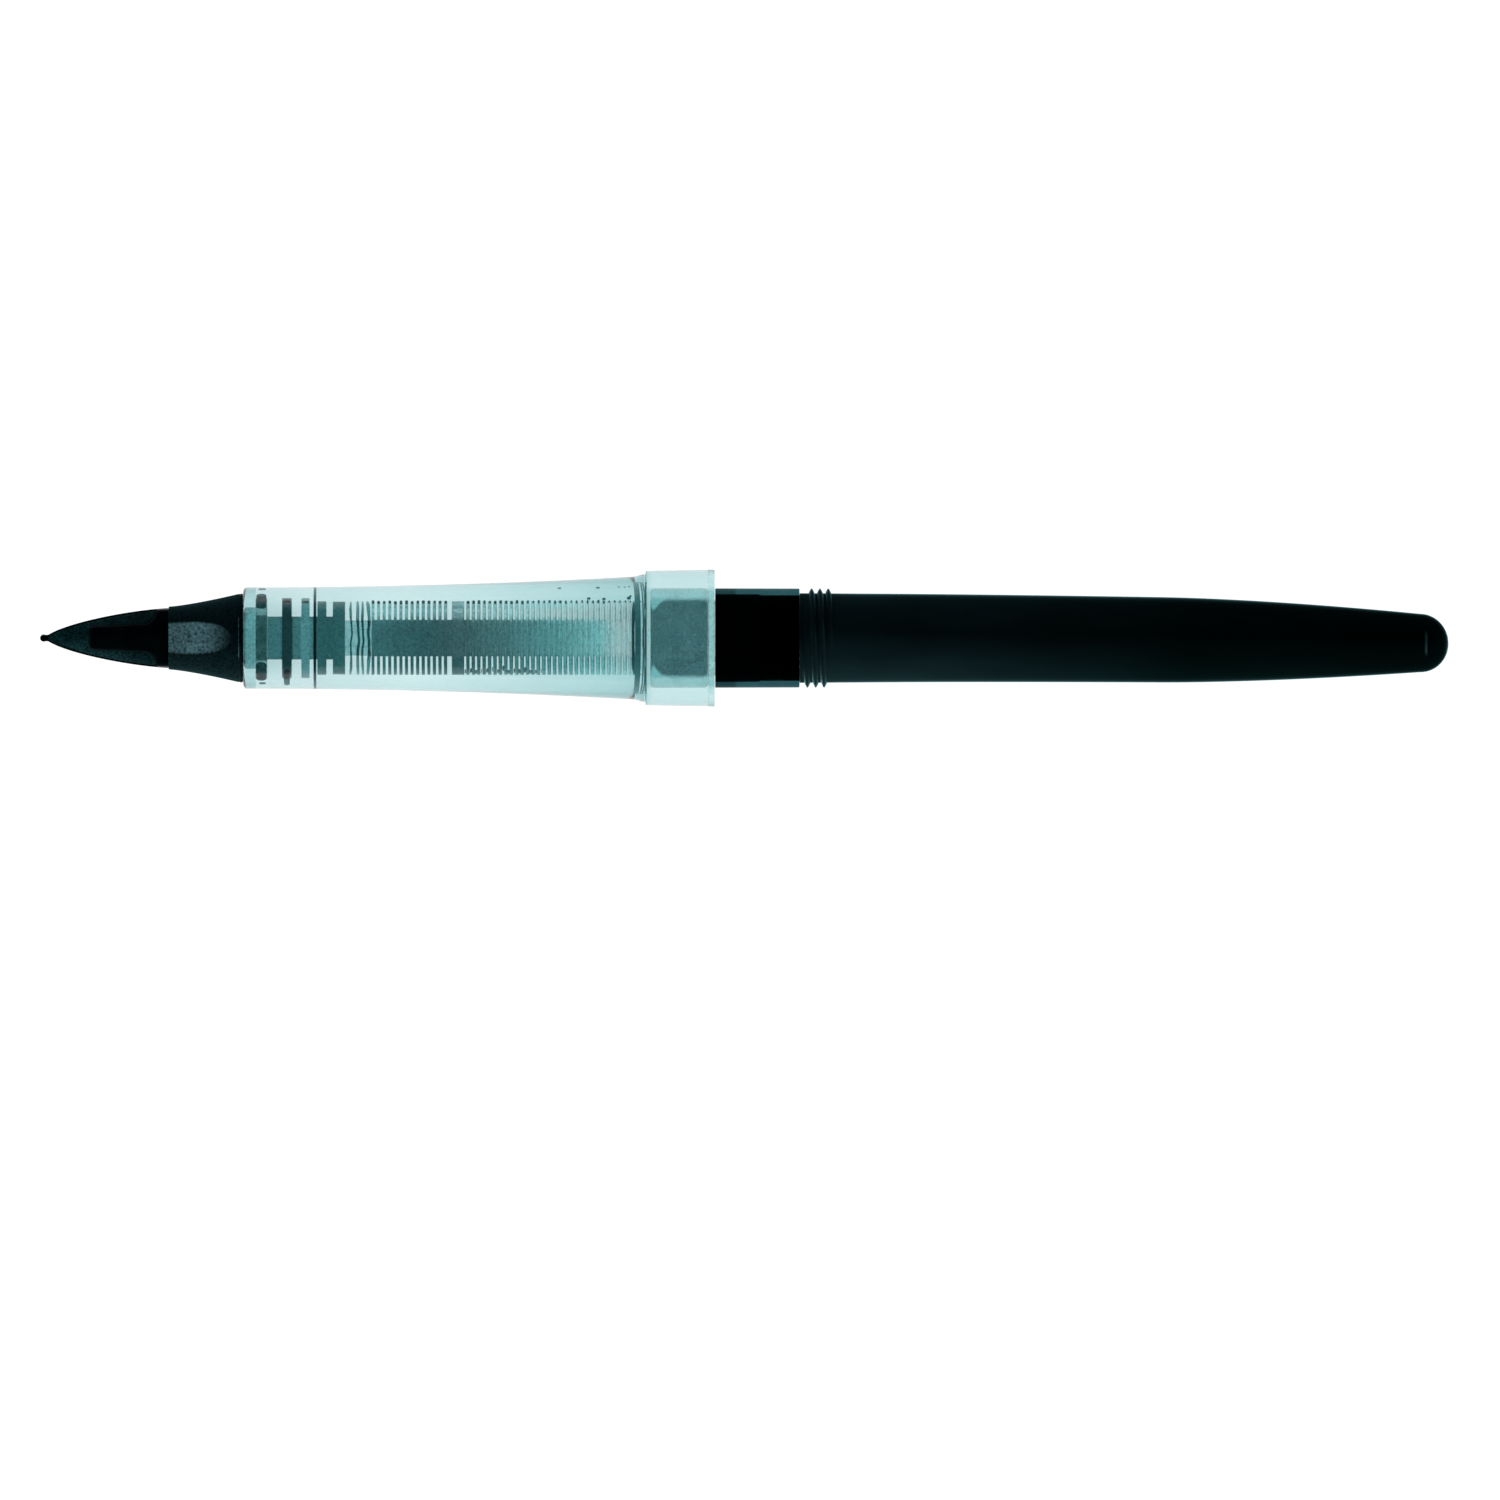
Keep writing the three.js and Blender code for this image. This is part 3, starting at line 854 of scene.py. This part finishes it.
def make_grip():
    """The clear shell: a rounded front, a slow taper, a flare up to the collar and a stepped bore."""
    corner = 0.35
    front_radius = 4.33
    rear_radius = 5.22
    collar_front_radius = 5.74
    brow = 5.5
    flare_x = shoulder_x - 1.3
    profile = [
        (grip_x + corner * (1 - math.cos(turn)), front_radius + corner * (math.sin(turn) - 1))
        for turn in quarter_turn(8)
    ]

    def cone(share):
        return front_radius + (rear_radius - front_radius) * share ** 2

    def flare(share):
        return rear_radius + (brow - rear_radius) * share ** 1.4

    profile += sweep(grip_x + corner, flare_x, 40, cone)[1:]
    profile += sweep(flare_x, shoulder_x, 12, flare)[1:]
    profile += [
        (shoulder_x + 0.06, collar_front_radius),
        (ring_x, collar_radius),
        (ring_x, socket_radius),
        (bore_end_x, socket_radius),
        (bore_end_x, bore),
        (bore_step_x, bore),
        (bore_step_x, front_bore),
        (grip_x + front_wall, front_bore),
        (grip_x + front_wall, stub_hole),
        (grip_x, stub_hole),
    ]
    place(turned("grip_piece", profile), "grip", "front_unit", "clear_plastic")


def make_collar_ring():
    front_x = ring_x + 0.01
    walls = [
        (front_x, collar_radius),
        (ring_end_x, collar_radius),
        (ring_end_x, socket_radius),
        (front_x, socket_radius),
    ]
    piece = turned("collar_ring_piece", eased(walls, 0.08))
    place(piece, "collar_ring", "front_unit", "clear_plastic", "ring")


# ---- Feed and collector ----

wick_bore = wick_radius + 0.05
shaft_radius = 1.83
gap_core = 1.5
core_radius = 1.56
fin_thickness = 0.25
FRONT_FINS = 14
FRONT_PITCH = 0.477
REAR_FINS = 31
REAR_PITCH = 0.463
chance = random.Random(7)


def clean_bore(piece):
    """Gives the piece's bore its own, unstained surface."""
    clean = add_look(piece, "bore_plastic")
    for face in piece.data.polygons:
        if math.hypot(face.center.y, face.center.z) < (wick_bore + 0.08) * MM:
            face.material_index = clean


def fin_stations():
    """The front face of each fin, over both stages of the collector."""
    front = [comb_x + i * FRONT_PITCH for i in range(FRONT_FINS)]
    rear = [rear_comb_x + (i + 1) * REAR_PITCH - fin_thickness for i in range(REAR_FINS)]
    return front + rear


def make_front_seal():
    inner, outer = shaft_radius + 0.03, front_bore - 0.02
    walls = [
        (seal_x, outer),
        (seal_end_x, outer),
        (seal_end_x, inner),
        (seal_x, inner),
    ]
    piece = turned("front_seal_piece", eased(walls, 0.06), INNER_FACETS)
    place(piece, "front_seal", "front_unit", "seal_rubber")


def comb_profile(start_x, end_x, core, discs):
    """Outline of discs (station, thickness, radius) on a core, round the wick's bore."""
    profile = [(start_x, wick_bore)]
    x = start_x
    for at, thickness, radius in discs:
        if at > x + 1e-6:
            profile += [(x, core), (at, core)]
        profile += [(at, radius), (at + thickness, radius)]
        x = at + thickness
    if x < end_x - 1e-6:
        profile += [(x, core), (end_x, core)]
    profile.append((end_x, wick_bore))
    return profile


def gap_tube():
    """The clear core between the feed and the collector."""
    from_x, to_x = feed_end_x + 0.02, comb_x - 0.02
    walls = [(from_x, wick_bore), (from_x, gap_core), (to_x, gap_core), (to_x, wick_bore)]
    return shell([circle(x, radius, INNER_FACETS) for x, radius in walls], loop=True)


def wavy_disc(at, thickness, bend, phase):
    """A thin disc that bends and wavers from side to side, as a film of ink between two discs does."""
    inner, corner, outer = gap_core + 0.02, 3.0, 3.14
    still_radius = 3.1
    section = [(0, inner), (0, corner), (0.25, outer), (0.75, outer), (1, corner), (1, inner)]
    rings = []
    for share, radius in section:
        ring = []
        for _, y, z in circle(0, radius, INNER_FACETS):
            shift = bend * (1 - (y / still_radius) ** 2)
            waver = 0.05 * math.sin(2.2 * y + phase) + 0.025 * math.sin(5 * y + 2 * phase)
            ring.append((at + thickness * share + shift + waver, y, z))
        rings.append(ring)
    return shell(rings, loop=True)


def make_front_feed():
    """The stepped shaft with its discs, and the clear core and films of ink before the collector."""
    # Station, thickness and radius.
    discs = [
        (feed_x, grip_x + front_wall - feed_x, stub_radius),
        (grip_x + 3.35, 0.8, 3.4),
        (grip_x + 5.0, 0.68, 3.4),
        (bore_step_x + 0.16, 0.76, 3.14),
        (grip_x + 7.68, 1.04, 3.1),
    ]
    # Distance before the collector, thickness and bend.
    films = [(1.88, 0.13, 0.1), (1.34, 0.2, 0.12), (0.88, 0.16, 0.06), (0.4, 0.22, 0.08)]
    profile = eased(comb_profile(feed_x, feed_end_x, shaft_radius, discs), 0.05)
    shells = [shell([circle(x, radius, INNER_FACETS) for x, radius in profile], loop=True)]
    for before, thickness, bend in films:
        shells.append(wavy_disc(comb_x - before, thickness, bend, chance.uniform(0, 6)))
    shells.append(gap_tube())
    piece = mesh_object("front_feed_piece", shells)
    clean_bore(place(piece, "front_feed", "front_unit", "smoke_plastic"))
    film = add_look(piece, "gap_film")
    core = add_look(piece, "gap_core")
    # Behind the feed's end, the faces that are not of the bore belong to the core and the films.
    for face in piece.data.polygons:
        if face.center.x > (feed_end_x + 0.01) * MM and face.material_index == 0:
            reach = max(math.hypot(*piece.data.vertices[corner].co.yz) for corner in face.vertices)
            face.material_index = core if reach < (gap_core + 0.01) * MM else film


def make_collector_front():
    rim = 1.02
    discs = [(at, fin_thickness, fin_radius) for at in fin_stations()[:FRONT_FINS]]
    discs.append((comb_end_x - rim, rim, fin_radius))
    profile = comb_profile(comb_x, comb_end_x, core_radius, discs)
    piece = turned("collector_front_piece", profile, INNER_FACETS)
    clean_bore(place(piece, "collector_front", "front_unit", "smoke_plastic", "stained_fins"))


def make_collector_rear():
    discs = [(at, fin_thickness, fin_radius) for at in fin_stations()[FRONT_FINS:]]
    profile = comb_profile(rear_comb_x, rear_comb_end_x, core_radius, discs)
    piece = turned("collector_rear_piece", profile, INNER_FACETS)
    clean_bore(place(piece, "collector_rear", "front_unit", "smoke_plastic", "stained_fins"))


def make_wick():
    taper = 0.4
    profile = [
        (wick_x, 0),
        (wick_x, wick_radius),
        (wick_end_x - taper, wick_radius),
        (wick_end_x, wick_radius / 2),
        (wick_end_x, 0),
    ]
    piece = turned("feed_wick_piece", eased(profile, 0.1, loop=False), 48, loop=False)
    place(piece, "feed_wick", "front_unit", "wick_fibre")


# ---- Ink in the grip's bore ----

# How far ink bites into the wall that it wets.
BITE = 0.012

# Specks of ink on the bore: station, angle from +Y and half-length.
SPECKS = [
    (-15.7, 3, 0.16),
    (-12.4, 3, 0.17),
    (-10.6, 2, 0.1),
    (-10.1, 2, 0.1),
    (-9.7, 1, 0.1),
    (-13.2, 30, 0.16),
    (-11.9, 31, 0.15),
    (-9.75, 30, 0.2),
    (-9.6, 26, 0.14),
]


def wet_patch(x, half_length, angle, half_angle, radius, depth=0.08, lean=0.0):
    """Ink in an uneven patch on the inside of a bore. Angles are in degrees from +Y, towards +Z.

    It bites a hair into the wall, so no gap of air shows between them.
    """
    steps = 16
    corners = 16
    rings = []
    for i in range(steps + 1):
        along = -math.cos(math.pi * i / steps)
        swell = max(1 - along ** 8, 0) ** 0.5
        waver = 0.06 * math.sin(9 * along + 40 * x)
        turn = math.radians(angle + half_angle * along)
        ring = []
        for j in range(corners):
            u = 2 * math.pi * j / corners
            boxed = math.copysign(abs(math.sin(u)) ** 0.4, math.sin(u))
            reach = radius + BITE - depth * swell * (1 - boxed) / 2
            at = x + half_length * (swell * (1 + waver) * math.cos(u) + lean * along)
            ring.append((at, reach * math.cos(turn), reach * math.sin(turn)))
        rings.append(ring if swell > 1e-6 else ring[:1])
    return shell(rings)


def film_ring(from_x, to_x, radius, thickness):
    """A film all round the inside of a bore."""
    section = [
        (from_x, radius + BITE),
        (to_x, radius + BITE),
        (to_x - thickness, radius - thickness),
        (from_x + thickness, radius - thickness),
    ]
    return shell([circle(x, reach, SHELL_FACETS) for x, reach in section], loop=True)


def tip_beads():
    """A bead of ink between each fin's tip and the bore, smaller towards the tank."""
    beads = []
    for i, at in enumerate(fin_stations()):
        half_length = chance.uniform(0.1, 0.14) - 0.0012 * i
        angle = 34.5 + 0.045 * i + chance.uniform(-0.8, 0.8)
        half_angle = chance.uniform(2.6, 4) - 0.03 * i
        beads.append(wet_patch(at + fin_thickness / 2, half_length, angle, half_angle, bore, 0.05))
    return beads


def gap_beads():
    """Slanting bits of ink caught between the first fins of the rear stage."""
    caught = 15
    beads = []
    for at in fin_stations()[FRONT_FINS:FRONT_FINS + caught]:
        lean = chance.uniform(-0.9, 0.9)
        angle = chance.uniform(143, 168)
        size = chance.uniform(0.03, 0.13)
        beads.append(wet_patch(at - 0.1, size, angle, 30 * size, fin_radius - 0.11, 0.3, lean))
    return beads


def make_ink_films():
    """Ink that wets the grip's bore: beads at the seal, discs and fins, and films at the bore's steps."""
    seal_middle = (seal_x + seal_end_x) / 2
    first_disc, second_disc = grip_x + 3.75, grip_x + 5.34
    # Each wet patch: station, half-length, angle, half-angle, bore and depth.
    beads = [
        wet_patch(seal_middle + 0.05, 0.34, 3, 5, front_bore),
        wet_patch(seal_middle, 0.46, 34, 15, front_bore),
        wet_patch(seal_middle + 0.1, 0.3, 164, 3, front_bore),
        wet_patch(seal_middle, 0.46, 140, 17, front_bore),
        wet_patch(first_disc, 0.32, 152, 18, front_bore, 0.12),
        wet_patch(first_disc, 0.36, 36, 1.6, front_bore, 0.1),
        wet_patch(second_disc, 0.3, 37, 1.6, front_bore, 0.1),
    ]
    beads.append(film_ring(bore_step_x - 0.17, bore_step_x + BITE, front_bore, 0.03))
    beads.append(film_ring(bore_step_x - 0.02, bore_step_x + 0.06, bore, 0.02))
    beads += tip_beads()
    beads += gap_beads()
    for x, angle, size in SPECKS:
        beads.append(wet_patch(x, size, angle, size * 14, bore, 0.05))
    dried_x = shoulder_x - 0.69
    beads.append(film_ring(dried_x, shoulder_x - 0.15, bore, 0.05))
    beads.append(film_ring(shoulder_x + 0.03, bore_end_x - 0.03, bore, 0.04))
    piece = mesh_object("ink_films", beads)
    wet = add_look(piece, "ink_film")
    dried = add_look(piece, "dried_film")
    for face in piece.data.polygons:
        face.material_index = dried if face.center.x > (dried_x - 0.01) * MM else wet
    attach(piece, "front_unit")


# ---- Joint between grip and tank ----

def make_tank_joint():
    """The frosted bush, a little shorter than its socket and well rounded."""
    bore_radius = nozzle_radius + 0.05
    front_x, back_x = joint_x + 0.25, ring_x - 0.02
    walls = [
        (front_x, joint_radius),
        (back_x, joint_radius),
        (back_x, bore_radius),
        (front_x, bore_radius),
    ]
    piece = turned("tank_joint_piece", eased(walls, 0.4, steps=6), INNER_FACETS)
    place(piece, "tank_joint", "front_unit", "frosted_plastic")


def make_nozzle():
    """The tank's mouth, whose front is a quarter of an oval that is deeper than it is long."""
    length, depth = 1.5, 2.3
    rounded = [
        (nozzle_x + length * (1 - math.cos(turn)), nozzle_radius + depth * (math.sin(turn) - 1))
        for turn in quarter_turn(12)
    ]
    spigot = 3.18
    mouth = 0.8
    foot_x = ring_end_x - 0.02
    walls = [
        (foot_x, nozzle_radius),
        (foot_x, spigot),
        (nozzle_end_x, spigot),
        (nozzle_end_x, mouth),
        (nozzle_x, mouth),
    ]
    piece = turned("tank_nozzle_piece", rounded + walls, INNER_FACETS)
    clean_bore(place(piece, "tank_nozzle", "tank", "smoke_plastic", "nozzle"))


# ---- Tank ----

taper_x = 35.4
taper_radius = 3.64
dome_length = 2.4
dome_radius = 2.49
dome_x = tail_x - dome_length
tank_radius = 3.82
wall = 0.62
bow = 0.46
neck_inset = 0.18


def bowed(rings):
    """The rings moved to -Y as the tail bows."""
    out = []
    for ring in rings:
        run = max(0, ring[0][0] - ink_x) / (tail_x - ink_x)
        out.append([(x, y - bow * run ** 1.5, z) for x, y, z in ring])
    return out


def tank_radius_at(x):
    """Radius of the tank at a station: a slight taper, then a curve in towards the tail."""
    if x < taper_x:
        return tank_radius + (taper_radius - tank_radius) * (x - neck_end_x) / (taper_x - neck_end_x)
    share = (x - taper_x) / (dome_x - taper_x)
    return taper_radius - (taper_radius - dome_radius) * share ** 1.6


THREAD_PITCH = 0.71
THREAD_TURNS = 3
thread_x = neck_end_x + 0.315


def thread_height(x, turn):
    """Height of the thread's ridge over the tank at a station, for an angle in turns from +Y."""
    ridge, half_base, crest = 0.42, 0.18, 0.08
    along = (x - thread_x) / THREAD_PITCH - turn
    nearest = round(along)
    wound = nearest + turn
    fade = smooth(0.15, 0.45, wound) * (1 - smooth(THREAD_TURNS + 0.05, THREAD_TURNS + 0.35, wound))
    offset = math.hypot(abs(along - nearest) * THREAD_PITCH, crest) - crest
    return ridge * fade * max(0, 1 - offset / half_base) ** 0.9


def make_reservoir():
    """The tank: an outside with the thread and the domed tail, and a cavity inside it."""
    facets = SHELL_FACETS
    rings = []
    steps = 150
    tail_steps = 60
    thread_end_x = thread_x + THREAD_PITCH * (THREAD_TURNS + 0.9)
    stations = [neck_x, neck_end_x + 0.005, neck_end_x + 0.02]
    stations += [thread_x - 0.2 + (thread_end_x - thread_x + 0.2) * i / steps for i in range(steps + 1)]
    stations += [thread_end_x + (ink_x - thread_end_x) * i / 3 for i in range(1, 4)]
    stations += [ink_x + (dome_x - ink_x) * i / tail_steps for i in range(1, tail_steps + 1)]
    for x in stations:
        ring = []
        for i in range(facets):
            turn = i / facets
            radius = tank_radius_at(x) + thread_height(x, turn)
            if x < neck_end_x + 0.01:
                radius -= neck_inset
            ring.append((x, radius * math.cos(2 * math.pi * turn), radius * math.sin(2 * math.pi * turn)))
        rings.append(ring)
    for turn in quarter_turn(24)[1:-1]:
        rings.append(circle(dome_x + dome_length * math.sin(turn), dome_radius * math.cos(turn), facets))
    rings.append([(tail_x, 0, 0)])
    cavity_end_x = 57.9
    cavity_end_radius = 1.6
    cavity_x = cavity_end_x - 0.6
    rings.append([(cavity_end_x, 0, 0)])
    rings.append(circle(cavity_end_x, cavity_end_radius, facets))
    for i in range(tail_steps + 1):
        x = cavity_x + (ink_x - cavity_x) * i / tail_steps
        rings.append(circle(x, tank_radius_at(x) - wall, facets))
    rings.append(circle(neck_x, tank_radius - wall, facets))
    piece = skin("reservoir_piece", bowed(rings), loop=True)
    place(piece, "reservoir", "tank", "tank_plastic")
    glint_x = cavity_end_x + 0.15
    mark = piece.data.attributes.new("glint", "FLOAT", "POINT")
    for vertex, value in zip(piece.data.vertices, mark.data):
        x, y, z = vertex.co / MM
        if abs(x - glint_x) < 0.08 and z > 1.6:
            value.value = 1 - smooth(0.5, 1.2, abs(y + bow))


def make_neck_sleeve():
    """The sleeve on the tank's neck, which narrows a hair towards the thread."""
    inner = tank_radius - neck_inset + 0.02
    walls = [(neck_x, neck_radius), (neck_end_x, neck_radius - 0.02), (neck_end_x, inner), (neck_x, inner)]
    place(turned("neck_sleeve_piece", eased(walls, 0.08)), "neck_sleeve", "tank", "tank_plastic", "sleeve")


# ---- Stage ----

def make_floor():
    """A glowing pale floor, in metres, at the height of the lowest part of the pen."""
    half = 2
    drop = cad_box[0].z
    points = [Vector((x, y, drop)) for x, y in ((-half, -half), (half, -half), (half, half), (-half, half))]
    mesh = bpy.data.meshes.new("floor")
    mesh.from_pydata(points, [], [(0, 1, 2, 3)])
    floor = bpy.data.objects.new("floor", mesh)
    bpy.context.scene.collection.objects.link(floor)
    pale = new_material("pale_floor", Roughness=0.8, Emission_Strength=1.0, Specular_IOR_Level=0.1)
    shader_of(pale).inputs["Base Color"].default_value = (0.3, 0.3, 0.3, 1)
    shader_of(pale).inputs["Emission Color"].default_value = (1, 1, 1, 1)
    floor.data.materials.append(pale)


def make_light(name, place_mm, size_mm, power, aim_mm=(0, 0, 0)):
    """A soft light that shows in no gloss and through no glass."""
    data = bpy.data.lights.new(name, "AREA")
    data.shape = "RECTANGLE"
    data.size = size_mm[0] * MM
    data.size_y = size_mm[1] * MM
    data.energy = power
    light = bpy.data.objects.new(name, data)
    light.location = Vector(place_mm) * MM
    light.rotation_euler = (Vector(aim_mm) - Vector(place_mm)).to_track_quat("-Z", "Y").to_euler()
    light.visible_glossy = False
    light.visible_transmission = False
    bpy.context.scene.collection.objects.link(light)


def make_world():
    """A studio that is pale at the horizon, and dim and teal overhead."""
    world = bpy.data.worlds.new("studio")
    world.use_nodes = True
    split = node(world, "ShaderNodeSeparateXYZ")
    wire(world, node(world, "ShaderNodeTexCoord"), "Generated", split, "Vector")
    shades = ramp(world, split, "Z", [
        (0.05, (0.75, 0.75, 0.75)),
        (0.12, (0.2, 0.42, 0.44)),
        (0.5, (0.08, 0.17, 0.18)),
    ])
    wire(world, shades, "Color", world.node_tree.nodes["Background"], "Color")
    bpy.context.scene.world = world


def make_camera():
    """Straight above the pen, whose axis lies a little above the middle of the frame."""
    frame_width = 127.8
    below_axis = 9.54
    ahead = 0.49
    data = bpy.data.cameras.new("camera")
    data.lens = 1000
    data.sensor_width = 36
    data.clip_start = 0.1
    data.clip_end = 10
    camera = bpy.data.objects.new("camera", data)
    distance = frame_width * data.lens / data.sensor_width
    camera.location = Vector((ahead, -below_axis, distance)) * MM
    bpy.context.scene.collection.objects.link(camera)
    bpy.context.scene.camera = camera


make_camera()
make_floor()
make_world()
make_light("left_softbox", (-600, 0, 600), (600, 600), 0.8, (-40, 0, 0))
make_light("side_strip", (150, -700, 60), (500, 80), 6.0)

make_nib_core()
make_nib_leaf(1, "nib_leaf_upper_piece", "nib_leaf_upper")
make_nib_leaf(-1, "nib_leaf_lower_piece", "nib_leaf_lower")
make_nib_tongue(1, "nib_tongue_upper_piece", "nib_tongue_upper")
make_nib_tongue(-1, "nib_tongue_lower_piece", "nib_tongue_lower")
make_holder()
make_grip()
make_collar_ring()
make_front_seal()
make_ink_films()
make_front_feed()
make_collector_front()
make_collector_rear()
make_wick()
make_tank_joint()
make_nozzle()
make_reservoir()
make_neck_sleeve()

for cad_node, look in (("tank_seal", "clear_rubber"), ("tank_plug", "smoke_plastic"), ("ink_charge", "ink")):
    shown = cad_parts[cad_node]
    shown.data.materials.clear()
    shown.data.materials.append(LOOKS[look])

bpy.context.scene.view_settings.view_transform = "Standard"
bpy.context.scene.cycles.max_bounces = 24
bpy.context.scene.cycles.transmission_bounces = 24
